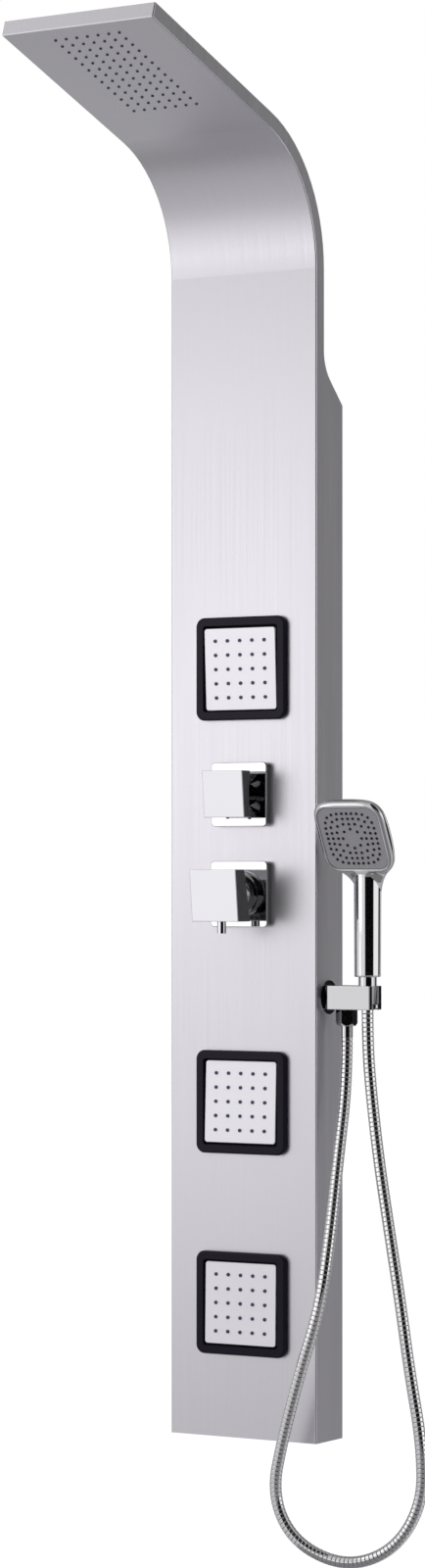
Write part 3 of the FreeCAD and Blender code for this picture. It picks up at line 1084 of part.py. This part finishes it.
faults = [item.Label for item in doc.Objects if {"Invalid", "Error"} & set(item.State)]
faults += [name for name, item in nodes.items() if item.Shape.isNull() or not item.Shape.isValid()]
if faults:
    raise SystemExit(f"not written, these failed: {faults}")
os.makedirs("parts", exist_ok=True)
for name, item in nodes.items():
    item.Shape.exportStep(f"parts/{name}.step")
print(len(nodes), "sub-parts written")
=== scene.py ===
"""Shower panel column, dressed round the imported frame. Metres, the row frame: +Z up, front -Y."""

import bpy
import json
import math
import numpy as np
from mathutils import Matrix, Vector


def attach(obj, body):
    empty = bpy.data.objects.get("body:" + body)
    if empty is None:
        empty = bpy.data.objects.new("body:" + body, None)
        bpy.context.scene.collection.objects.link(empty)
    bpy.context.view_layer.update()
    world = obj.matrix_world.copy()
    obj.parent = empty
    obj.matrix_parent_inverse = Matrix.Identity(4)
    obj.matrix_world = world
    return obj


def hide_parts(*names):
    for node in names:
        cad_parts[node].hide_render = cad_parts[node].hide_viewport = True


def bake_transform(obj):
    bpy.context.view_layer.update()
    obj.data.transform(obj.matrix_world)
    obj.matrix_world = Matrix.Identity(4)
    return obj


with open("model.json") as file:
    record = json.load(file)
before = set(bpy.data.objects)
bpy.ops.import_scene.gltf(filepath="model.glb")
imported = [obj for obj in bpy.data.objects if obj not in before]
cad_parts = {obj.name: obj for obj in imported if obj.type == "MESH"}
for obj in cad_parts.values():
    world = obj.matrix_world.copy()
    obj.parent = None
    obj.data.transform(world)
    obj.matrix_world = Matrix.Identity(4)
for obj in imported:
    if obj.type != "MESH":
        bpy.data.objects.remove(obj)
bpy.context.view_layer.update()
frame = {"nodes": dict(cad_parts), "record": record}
NODES = frame["nodes"]
MM = 0.001
bpy.context.scene.view_settings.view_transform = "Standard"

# ------------------------------------------------------------------ camera
# fitted to the straight edges of the column in the photograph
CAMERA_PLACE = (2.5160, -4.2616, 0.0545)
CAMERA_TURN = 31.348
SENSOR_WIDTH = 36
LENS = 95.115
SHIFT_UP = 0.0586

camera = bpy.data.objects.new("camera", bpy.data.cameras.new("camera"))
bpy.context.collection.objects.link(camera)
bpy.context.scene.camera = camera
camera.location = CAMERA_PLACE
camera.rotation_euler = (math.radians(90), 0, math.radians(CAMERA_TURN))
camera.data.sensor_width = SENSOR_WIDTH
camera.data.lens = LENS
camera.data.shift_y = SHIFT_UP
camera.data.clip_start, camera.data.clip_end = 0.05, 60


# ------------------------------------------------------------------ mesh helpers
def add_mesh(name, verts, faces, smooth=True):
    """A mesh object from vertices in metres and faces."""
    mesh = bpy.data.meshes.new(name)
    mesh.from_pydata([tuple(v) for v in verts], [], faces)
    mesh.validate()
    mesh.update()
    obj = bpy.data.objects.new(name, mesh)
    bpy.context.collection.objects.link(obj)
    if smooth:
        mesh.shade_smooth()
    return obj


def closed_tube(name, rings):
    """A mesh through rings that all have the same number of points, closed at both ends."""
    count = len(rings[0])
    verts = [point for ring in rings for point in ring]
    faces = []
    for i in range(len(rings) - 1):
        a, b = i * count, (i + 1) * count
        faces += [(a + j, a + (j + 1) % count, b + (j + 1) % count, b + j) for j in range(count)]
    faces.append(tuple(reversed(range(count))))
    faces.append(tuple(range((len(rings) - 1) * count, len(rings) * count)))
    return add_mesh(name, verts, faces)


# ------------------------------------------------------------------ the free hose
# control points in mm, from the outlet's ferrule to the cone nut
HOSE_ROUTE = (
    (125.3, -34.5, -134.3), (125.3, -34.5, -190), (125.3, -54.5, -275), (128.3, -78.5, -362),
    (124.3, -95.5, -445), (97.3, -96.5, -525), (73.3, -93.5, -600), (57.3, -91.5, -668),
    (83.3, -87.5, -722), (145.3, -75.5, -748), (203.3, -62.5, -727), (238.3, -55.5, -670),
    (236.3, -55.5, -598), (220.3, -54.5, -520), (206.3, -51.5, -440), (189.3, -46.5, -360),
    (171.3, -40.5, -275), (158.3, -35.5, -195), (153.3, -34.5, -140), (153.3, -34.5, -95.6),
)
RIB_PITCH = 0.0053
HOSE_SIDES = 24
LINE_STEPS = 40

# one rib as pairs of the share of the pitch and the radius in mm: a flat polished band and a narrow groove
RIB = ((0.0, 6.45), (0.05, 6.85), (0.10, 7.0), (0.14, 7.0),
       (0.80, 7.0), (0.84, 7.0), (0.89, 6.85), (0.94, 6.45))


def smooth_line(route):
    """Points along the NURBS line whose control points are the route's."""
    curve = bpy.data.curves.new("route", "CURVE")
    curve.dimensions = "3D"
    curve.resolution_u = LINE_STEPS
    spline = curve.splines.new("NURBS")
    spline.points.add(len(route) - 1)
    for point, place in zip(spline.points, route):
        point.co = (*(Vector(place) * MM), 1)
    spline.order_u = 3
    spline.use_endpoint_u = True
    carrier = bpy.data.objects.new("route", curve)
    bpy.context.collection.objects.link(carrier)
    mesh = bpy.data.meshes.new_from_object(carrier)
    line = [vertex.co.copy() for vertex in mesh.vertices]
    bpy.data.objects.remove(carrier)
    bpy.data.curves.remove(curve)
    bpy.data.meshes.remove(mesh)
    return line


def line_frames(line):
    """Distances along a line, and a frame at each of its points that doesn't twist."""
    lengths = [0.0]
    for a, b in zip(line, line[1:]):
        lengths.append(lengths[-1] + (b - a).length)
    frames = []
    side = Vector((0, 1, 0))
    for i, point in enumerate(line):
        ahead = (line[min(i + 1, len(line) - 1)] - line[max(i - 1, 0)]).normalized()
        side = (side - ahead * side.dot(ahead)).normalized()
        frames.append((point, side.copy(), ahead.cross(side)))
    return lengths, frames


def at_distance(lengths, frames, distance):
    """The frame at a distance along a line, mixed between its neighbours."""
    low, high = 0, len(lengths) - 1
    while high - low > 1:
        middle = (low + high) // 2
        if lengths[middle] <= distance:
            low = middle
        else:
            high = middle
    share = (distance - lengths[low]) / max(lengths[high] - lengths[low], 1e-9)
    share = min(max(share, 0), 1)
    return [a.lerp(b, share) for a, b in zip(frames[low], frames[high])]


def ring_at(lengths, frames, distance, radius):
    """A ring of points round a line, at a distance along it, with a radius in mm."""
    centre, side, up = at_distance(lengths, frames, distance)
    turns = [2 * math.pi * k / HOSE_SIDES for k in range(HOSE_SIDES)]
    return [centre + (side * math.cos(turn) + up * math.sin(turn)) * radius * MM for turn in turns]


def ribbed_hose():
    """The hose: a polished strip wound into flat bands with narrow grooves between."""
    line = smooth_line(HOSE_ROUTE)
    lengths, frames = line_frames(line)
    total = lengths[-1]
    ribs = round(total / RIB_PITCH)
    pitch = total / ribs
    rings = [ring_at(lengths, frames, (rib + share) * pitch, radius) for rib in range(ribs) for share, radius in RIB]
    rings.append(ring_at(lengths, frames, total, RIB[0][1]))
    return closed_tube("shower_hose_ribbed", rings), line, total


hose, hose_line, hose_length = ribbed_hose()
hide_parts("shower_hose")
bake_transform(hose)


# ------------------------------------------------------------------ the hand shower's shell
# sizes in mm: the spray face leans back by TILT about its middle, FACE, over an upright grip
FACE = (153.3, -69.7, 98.3)
GRIP_Y = -34.5
TILT = math.radians(27.6)

HEAD_HALF, HEAD_SQUARENESS, HEAD_RIM = 46.3, 4.8, 2
DOME_RADIUS, DOME_AHEAD = 150, 127.4
RECESS_STRAIGHT, RECESS_CORNER, RECESS_DEEP = 25.3, 15.2, 4

GRIP_RADIUS, GRIP_TAPER, GRIP_TAPER_LENGTH = 15.5, 0.6, 125
GRIP_FOOT, GRIP_TOP = -63.5, 64
NECK_FOOT, NECK_BEHIND = 56, 2.2
BORE_RADIUS, BORE_TOP = 12.7, 40

# the neck's hollow grows from the middle out to the sides, and from the face to the back
NECK_BLEND, NECK_BLEND_SIDE = 4, 30
FLARE_FROM, FLARE_WIDE, FLARE_DEEP = 6, 9, 7

HANDSET_LOW, HANDSET_HIGH = (104, -105, -66), (203, -13, 147)
HANDSET_CELL = 0.9


def smooth_min(a, b, k):
    """The lesser of two fields, rounded where they meet."""
    share = np.clip(0.5 + 0.5 * (b - a) / k, 0, 1)
    return b + (a - b) * share - k * share * (1 - share)


def smooth_max(a, b, k):
    """The greater of two fields, rounded where they meet."""
    return -smooth_min(-a, -b, k)


def head_field(u, up, back):
    """The head: a squarish outline, a domed back and a flat rim."""
    outline = (np.abs(u) ** HEAD_SQUARENESS + np.abs(up) ** HEAD_SQUARENESS) ** (1 / HEAD_SQUARENESS) - HEAD_HALF
    dome = np.sqrt(u ** 2 + up ** 2 + (back + DOME_AHEAD) ** 2) - DOME_RADIUS
    return smooth_max(smooth_max(outline, dome, 10), -HEAD_RIM - back, 6)


def grip_field(across, z, back):
    """The grip: a slightly tapered rod from its foot up into the head."""
    grip = across - GRIP_RADIUS - GRIP_TAPER * np.clip((z - GRIP_FOOT) / GRIP_TAPER_LENGTH, 0, 1)
    grip = smooth_max(grip, z - GRIP_TOP, 8)
    grip = smooth_max(grip, -np.maximum(back + NECK_BEHIND, NECK_FOOT - z), 2)
    return smooth_max(grip, GRIP_FOOT - z, 1.2)


def recess_field(u, up, back):
    """The rounded recess in which the face plate lies."""
    across, along = np.maximum(np.abs(u) - RECESS_STRAIGHT, 0), np.maximum(np.abs(up) - RECESS_STRAIGHT, 0)
    return smooth_max(np.hypot(across, along) - RECESS_CORNER, back - RECESS_DEEP, 0.6)


def handset_field(p):
    """A field in mm that is below 0 inside the hand shower's shell."""
    u = p[..., 0] - FACE[0]
    across, z = np.hypot(u, p[..., 1] - GRIP_Y), p[..., 2]
    dy, dz = p[..., 1] - FACE[1], z - FACE[2]
    back = dy * math.cos(TILT) + dz * math.sin(TILT)
    up = -dy * math.sin(TILT) + dz * math.cos(TILT)
    flare = np.clip((np.abs(u) - FLARE_FROM) / FLARE_WIDE, 0, 1)
    depth = np.clip(back / FLARE_DEEP, 0, 1)
    blend = NECK_BLEND + NECK_BLEND_SIDE * depth * flare * flare * (3 - 2 * flare)
    whole = smooth_min(head_field(u, up, back), grip_field(across, z, back), blend)
    whole = smooth_max(whole, -recess_field(u, up, back), 0.8)
    bore = smooth_max(across - BORE_RADIUS, z - BORE_TOP, 1)
    return smooth_max(whole, -bore, 0.6)


def surface_of(name, field, low, high, cell):
    """A mesh where a field is 0: one vertex in each cell that the surface crosses, drawn on to it."""
    axes = [np.arange(a, b + cell, cell) for a, b in zip(low, high)]
    inside = field(np.stack(np.meshgrid(*axes, indexing="ij"), -1)) < 0
    n = [count - 1 for count in inside.shape]
    corners = np.zeros(n, int)
    for i, j, k in np.ndindex(2, 2, 2):
        corners += inside[i:i + n[0], j:j + n[1], k:k + n[2]]
    crossed = (corners > 0) & (corners < 8)
    number = np.full(n, -1)
    number[crossed] = np.arange(crossed.sum())
    points = np.array(low) + (np.argwhere(crossed) + 0.5) * cell
    step = 0.05
    for _ in range(6):
        slope = np.stack([(field(points + e) - field(points - e)) / (2 * step) for e in np.eye(3) * step], -1)
        move = -(field(points) / np.maximum((slope ** 2).sum(-1), 1e-6))[:, None] * slope
        points += np.clip(move, -0.7 * cell, 0.7 * cell)
    faces = []
    for axis in range(3):
        a, b = [i for i in range(3) if i != axis]
        cuts = [tuple(slice(shift, n[i] + shift) if i == axis else slice(1, n[i]) for i in range(3))
                for shift in (0, 1)]
        first, second = inside[cuts[0]], inside[cuts[1]]
        for crossing, turned in ((first & ~second, axis == 1), (~first & second, axis != 1)):
            base = np.argwhere(crossing)
            quad = []
            for step_a, step_b in ((1, 1), (0, 1), (0, 0), (1, 0)):
                at = base.copy()
                at[:, a] += step_a
                at[:, b] += step_b
                quad.append(number[at[:, 0], at[:, 1], at[:, 2]])
            quad = np.stack(quad, -1)
            faces.append(quad[:, ::-1] if turned else quad)
    return add_mesh(name, points * MM, np.concatenate(faces).tolist())


handset = surface_of("hand_shower_shell", handset_field, HANDSET_LOW, HANDSET_HIGH, HANDSET_CELL)
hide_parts("handset_shell")
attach(handset, "hand_shower")

# ------------------------------------------------------------------ nodes
# for each kind of mix: its two inputs and its output
MIX_SOCKETS = {"FLOAT": (2, 3, 0), "RGBA": (6, 7, 2)}


def feed(tree, socket, value):
    """Link a socket to another node's output, or set it to a value."""
    if isinstance(value, bpy.types.NodeSocket):
        tree.links.new(value, socket)
    else:
        socket.default_value = value


def add(tree, kind, inputs=None, **properties):
    """A node with its properties, and values or links for its inputs by number or name."""
    item = tree.nodes.new(kind)
    for key, value in properties.items():
        setattr(item, key, value)
    for key, value in (inputs or {}).items():
        feed(tree, item.inputs[key], value)
    return item


def maths(tree, operation, *operands):
    """The result of a sum on values or other nodes' outputs."""
    return add(tree, "ShaderNodeMath", dict(enumerate(operands)), operation=operation).outputs[0]


def parts_of(tree, vector):
    """The X, Y and Z outputs of a vector."""
    return add(tree, "ShaderNodeSeparateXYZ", {0: vector}).outputs


def ramp(tree, source, low, high, out_low, out_high):
    """A value mapped from one range to another, clamped."""
    return add(tree, "ShaderNodeMapRange", {"Value": source, "From Min": low, "From Max": high,
                                            "To Min": out_low, "To Max": out_high}).outputs["Result"]


def mix(tree, data_type, share, first, second):
    """Two values or colours mixed by a share from 0 to 1."""
    a, b, result = MIX_SOCKETS[data_type]
    return add(tree, "ShaderNodeMix", {0: share, a: first, b: second}, data_type=data_type).outputs[result]


def noise(tree, scale, detail):
    """Noise on the object's own coordinates, stretched by a scale on each axis."""
    place = add(tree, "ShaderNodeTexCoord").outputs["Object"]
    mapped = add(tree, "ShaderNodeMapping", {"Vector": place, "Scale": scale}).outputs["Vector"]
    return add(tree, "ShaderNodeTexNoise", {"Vector": mapped, "Scale": 1.0, "Detail": detail,
                                            "Roughness": 0.55}).outputs["Fac"]


def bump(tree, shader, source, strength, distance):
    """Bump from a value."""
    item = add(tree, "ShaderNodeBump", {"Height": source, "Strength": strength, "Distance": distance})
    tree.links.new(item.outputs["Normal"], shader.inputs["Normal"])


def shade(base, factor):
    """A colour made lighter or darker, with its alpha."""
    return (*(min(1.0, channel * factor) for channel in base), 1)


# ------------------------------------------------------------------ materials
BRUSH_SPREAD = 0.06
FOLD_ROUGHNESS = 0.12
# how far painted shade darkens the chrome's base colour on its sides and back
SIDE_SHADE_FACTOR = 0.62


def material(name, base, rough, metal=0.0, **sockets):
    """A Principled material; returns it with its node tree and shader."""
    mat = bpy.data.materials.new(name)
    mat.use_nodes = True
    shader = mat.node_tree.nodes["Principled BSDF"]
    shader.inputs["Base Color"].default_value = (*base, 1)
    shader.inputs["Roughness"].default_value = rough
    shader.inputs["Metallic"].default_value = metal
    for key, value in sockets.items():
        shader.inputs[key.replace("_", " ")].default_value = value
    return mat, mat.node_tree, shader


def brushed(name, base, rough, grain=1400):
    """Brushed metal: fine lines along the sheet, on its front and sides, and smoother folds between them."""
    mat, tree, shader = material(name, base, rough, 1.0)
    front = noise(tree, (grain, 3, 3), 3)
    side = noise(tree, (4, grain, 5), 3)
    normal = add(tree, "ShaderNodeNewGeometry").outputs["Normal"]
    sideways = maths(tree, "ABSOLUTE", parts_of(tree, normal)["X"])
    lines = mix(tree, "FLOAT", ramp(tree, sideways, 0.6, 0.8, 0, 1), front, side)
    fold = maths(tree, "MULTIPLY", ramp(tree, sideways, 0.03, 0.2, 0, 1), ramp(tree, sideways, 0.9, 0.995, 1, 0))
    colour = mix(tree, "RGBA", ramp(tree, lines, 0.3, 0.7, 0, 1), shade(base, 0.965), shade(base, 1.03))
    tree.links.new(colour, shader.inputs["Base Color"])
    cloud = noise(tree, (2.2, 2.2, 2.2), 2)
    total = maths(tree, "ADD", ramp(tree, lines, 0.25, 0.75, rough - BRUSH_SPREAD, rough + BRUSH_SPREAD),
                  ramp(tree, cloud, 0.3, 0.7, -0.015, 0.015))
    tree.links.new(mix(tree, "FLOAT", fold, total, FOLD_ROUGHNESS), shader.inputs["Roughness"])
    bump(tree, shader, lines, 0.12, 0.00004)
    return mat


def polished(name, base, rough, wear=0.02, painted_side_shade=False):
    """Mirror plating with faint waves and smears; if asked, painted shade darkens its base colour on its sides and
    back.
    """
    mat, tree, shader = material(name, base, rough, 1.0)
    smears = noise(tree, (14, 14, 6), 5)
    tree.links.new(ramp(tree, smears, 0.35, 0.75, rough, rough + wear), shader.inputs["Roughness"])
    colour = mix(tree, "RGBA", smears, shade(base, 0.985), (*base, 1))
    # painted shade: the base colour is darkened where the surface faces to the sides or backwards
    if painted_side_shade:
        normal = parts_of(tree, add(tree, "ShaderNodeTexCoord").outputs["Normal"])
        side_shade_mask = maths(tree, "MAXIMUM", ramp(tree, maths(tree, "ABSOLUTE", normal["X"]), 0.9, 0.97, 0, 1),
                       ramp(tree, normal["Y"], 0.1, 0.5, 0, 1))
        colour = mix(tree, "RGBA", side_shade_mask, colour, shade(base, SIDE_SHADE_FACTOR))
    tree.links.new(colour, shader.inputs["Base Color"])
    bump(tree, shader, noise(tree, (22, 22, 22), 1), 0.05, 0.0004)
    return mat


def moulded(name, base, rough, spread=0.05, grain=500, depth=0.00003, **sockets):
    """Moulded plastic or rubber: a fine grain and slight colour drift."""
    mat, tree, shader = material(name, base, rough, **sockets)
    fine = noise(tree, (grain, grain, grain), 2)
    drift = noise(tree, (9, 9, 9), 3)
    tree.links.new(mix(tree, "RGBA", drift, shade(base, 0.9), shade(base, 1.08)), shader.inputs["Base Color"])
    tree.links.new(ramp(tree, drift, 0.3, 0.7, rough - spread, rough + spread), shader.inputs["Roughness"])
    bump(tree, shader, fine, 0.25, depth)
    return mat


FINISHES = {
    "stainless": brushed("brushed_stainless", (0.64, 0.626, 0.662), 0.37),
    "plated_steel": brushed("zinc_plated_steel", (0.62, 0.63, 0.64), 0.42, 600),
    # chrome with painted shade on its sides and back
    "chrome": polished("mirror_chrome", (0.64, 0.632, 0.655), 0.035, painted_side_shade=True),
    # the chrome again with a darker base colour: painted shade for the mixer's dome
    "painted_shade_chrome": polished("painted_shade_chrome", (0.24, 0.237, 0.246), 0.035),
    "hose_steel": polished("hose_steel", (0.80, 0.79, 0.80), 0.09, 0.03),
    "chromed_plastic": polished("chromed_plastic", (0.66, 0.655, 0.67), 0.045),
    "satin_grey": moulded("satin_grey_plastic", (0.40, 0.39, 0.42), 0.45),
    "black_gloss": moulded("black_gloss_plastic", (0.010, 0.008, 0.016), 0.25, 0.03, 260, Specular_IOR_Level=0.12),
    "black_plastic": moulded("black_plastic", (0.015, 0.013, 0.022), 0.5, Specular_IOR_Level=0.2),
    "silver_face": moulded("silver_face", (0.83, 0.815, 0.86), 0.36, 0.03, 700, 0.00001, metal=0.5),
    "dark_silicone": moulded("dark_silicone", (0.035, 0.035, 0.10), 0.48),
    "white_nylon": moulded("white_nylon", (0.78, 0.78, 0.76), 0.45),
    "brass": brushed("machined_brass", (0.70, 0.50, 0.22), 0.28, 900),
    "grey_hose": moulded("grey_pressure_hose", (0.16, 0.165, 0.17), 0.55),
    # near-black steel, also put in the hose's grooves as painted shade
    "black_steel": moulded("black_steel_groove_shade", (0.03, 0.03, 0.03), 0.35, metal=0.8),
}


def dress(obj, slot_name):
    """Put a finish in every material slot of an object."""
    finish = FINISHES[slot_name]
    if not obj.material_slots:
        obj.data.materials.append(finish)
    for item in obj.material_slots:
        item.material = finish


for entry in frame["record"]["subparts"]:
    dress(NODES[entry["node"]], entry["material_slot"])
dress(hose, "hose_steel")
# painted shade: the faces of each groove between the hose's windings get the near-black steel
hose.data.materials.append(FINISHES["black_steel"])
bands = np.arange(len(hose.data.polygons)) // HOSE_SIDES % len(RIB)
hose.data.polygons.foreach_set("material_index", (bands == len(RIB) - 1).astype(np.int32))
dress(handset, "chromed_plastic")
# painted shade: the mixer's dome gets the darkened copy of the chrome
dress(NODES["mixer_dome"], "painted_shade_chrome")

# ------------------------------------------------------------------ stage, lamps and world
# what polished surfaces see: brightness by direction, in degrees from the front towards the right,
# near the horizon and away from it
LEVEL_CARDS = ((-180, 0.12), (-90, 0.15), (-80, 1.0), (3, 1.0), (9, 0.003), (79, 0.003), (84, 1.2),
               (128, 1.2), (139, 0.01), (157, 0.03), (166, 0.9), (176, 0.9), (180, 0.12))
OTHER_CARDS = ((-180, 0.38), (-100, 0.38), (-82, 0.68), (3, 0.68), (12, 0.02), (80, 0.02), (88, 0.6),
               (125, 0.6), (140, 0.08), (160, 0.1), (180, 0.45))
WHITE = (1, 1, 1, 1)
FLOOR_HALF, FLOOR_Z = 9, -0.80
FLOOR_COLOUR = (0.26, 0.26, 0.27, 1)
FLOOR_GLOW, ROOM_LIGHT, BACKGROUND = 0.8, 0.95, 1.0


def card_look(tree, vector, table):
    """The brightness of a table's cards by the direction of a vector in plan."""
    place = parts_of(tree, vector)
    turn = maths(tree, "ARCTAN2", place["X"], maths(tree, "MULTIPLY", place["Y"], -1.0))
    cards = add(tree, "ShaderNodeValToRGB")
    stops = cards.color_ramp.elements
    stops.remove(stops[0])
    for number, (degrees, level) in enumerate(table):
        stop = stops.new((degrees + 180) / 360) if number else stops[0]
        stop.position = (degrees + 180) / 360
        stop.color = (level, level, level, 1)
    tree.links.new(ramp(tree, turn, -math.pi, math.pi, 0, 1), cards.inputs[0])
    return cards.outputs["Color"]


def pale_floor():
    """A pale floor that shows white, and that polished surfaces see as cards, brighter behind on the left."""
    half, z = FLOOR_HALF, FLOOR_Z
    floor = add_mesh("floor", [(-half, -half, z), (half, -half, z), (half, half, z), (-half, half, z)],
                     [(0, 1, 2, 3)], smooth=False)
    mat = bpy.data.materials.new("pale_floor")
    mat.use_nodes = True
    tree = mat.node_tree
    tree.nodes.clear()
    rays = add(tree, "ShaderNodeLightPath").outputs
    where = add(tree, "ShaderNodeNewGeometry").outputs["Position"]
    place = parts_of(tree, where)
    front = ramp(tree, place["Y"], -1.3, 0.3, 0.38, 0.28)
    behind = maths(tree, "MULTIPLY", ramp(tree, place["Y"], 0.2, 1.2, 0.0, 1.0),
                   ramp(tree, place["X"], -1.2, -0.1, 2.2, 0.0))
    seen = maths(tree, "MULTIPLY", maths(tree, "ADD", front, behind), card_look(tree, where, LEVEL_CARDS))
    seen = maths(tree, "MULTIPLY", rays["Is Glossy Ray"], seen)
    strength = maths(tree, "MULTIPLY_ADD", rays["Is Camera Ray"], FLOOR_GLOW, seen)
    glow = add(tree, "ShaderNodeEmission", {"Color": WHITE, "Strength": strength}).outputs[0]
    matte = add(tree, "ShaderNodeBsdfDiffuse", {"Color": FLOOR_COLOUR}).outputs[0]
    both = add(tree, "ShaderNodeAddShader", {0: glow, 1: matte}).outputs[0]
    add(tree, "ShaderNodeOutputMaterial", {"Surface": both})
    floor.data.materials.append(mat)


def studio_world():
    """A white background, an even light, and the cards that polished surfaces see."""
    world = bpy.data.worlds.new("studio")
    bpy.context.scene.world = world
    world.use_nodes = True
    tree = world.node_tree
    tree.nodes.clear()
    rays = add(tree, "ShaderNodeLightPath").outputs
    where = add(tree, "ShaderNodeTexCoord").outputs["Generated"]
    height = maths(tree, "ABSOLUTE", parts_of(tree, where)["Z"])
    cards = mix(tree, "RGBA", ramp(tree, height, 0.12, 0.3, 0, 1),
                card_look(tree, where, LEVEL_CARDS), card_look(tree, where, OTHER_CARDS))
    plain = add(tree, "ShaderNodeBackground", {"Color": WHITE, "Strength": ROOM_LIGHT}).outputs[0]
    shown = add(tree, "ShaderNodeBackground", {"Color": WHITE, "Strength": BACKGROUND}).outputs[0]
    shiny = add(tree, "ShaderNodeBackground", {"Color": cards, "Strength": 1.0}).outputs[0]
    lit = add(tree, "ShaderNodeMixShader", {0: rays["Is Glossy Ray"], 1: plain, 2: shiny}).outputs[0]
    direct = maths(tree, "MAXIMUM", rays["Is Camera Ray"], rays["Is Transmission Ray"])
    whole = add(tree, "ShaderNodeMixShader", {0: direct, 1: lit, 2: shown}).outputs[0]
    add(tree, "ShaderNodeOutputWorld", {"Surface": whole})


def soft_box(name, place, target, width, height, radiance):
    """An area lamp of a size in metres, aimed at a point, by the brightness of its face."""
    lamp = bpy.data.lights.new(name, "AREA")
    lamp.shape = "RECTANGLE"
    lamp.size, lamp.size_y = width, height
    lamp.energy = radiance * math.pi * width * height
    obj = bpy.data.objects.new(name, lamp)
    bpy.context.collection.objects.link(obj)
    obj.location = place
    obj.rotation_euler = (Vector(target) - Vector(place)).to_track_quat("-Z", "Y").to_euler()
    obj.visible_camera = False


pale_floor()
studio_world()
soft_box("key_box", (-1.10, -1.85, 0.40), (0, -0.06, 0.20), 1.1, 0.92, 0.80)
soft_box("lower_box", (-1.30, -1.85, -0.35), (0, -0.06, -0.10), 0.6, 0.56, 0.68)
soft_box("upper_box", (-1.55, -2.20, 2.10), (0, -0.35, 0.75), 0.9, 0.9, 0.9)
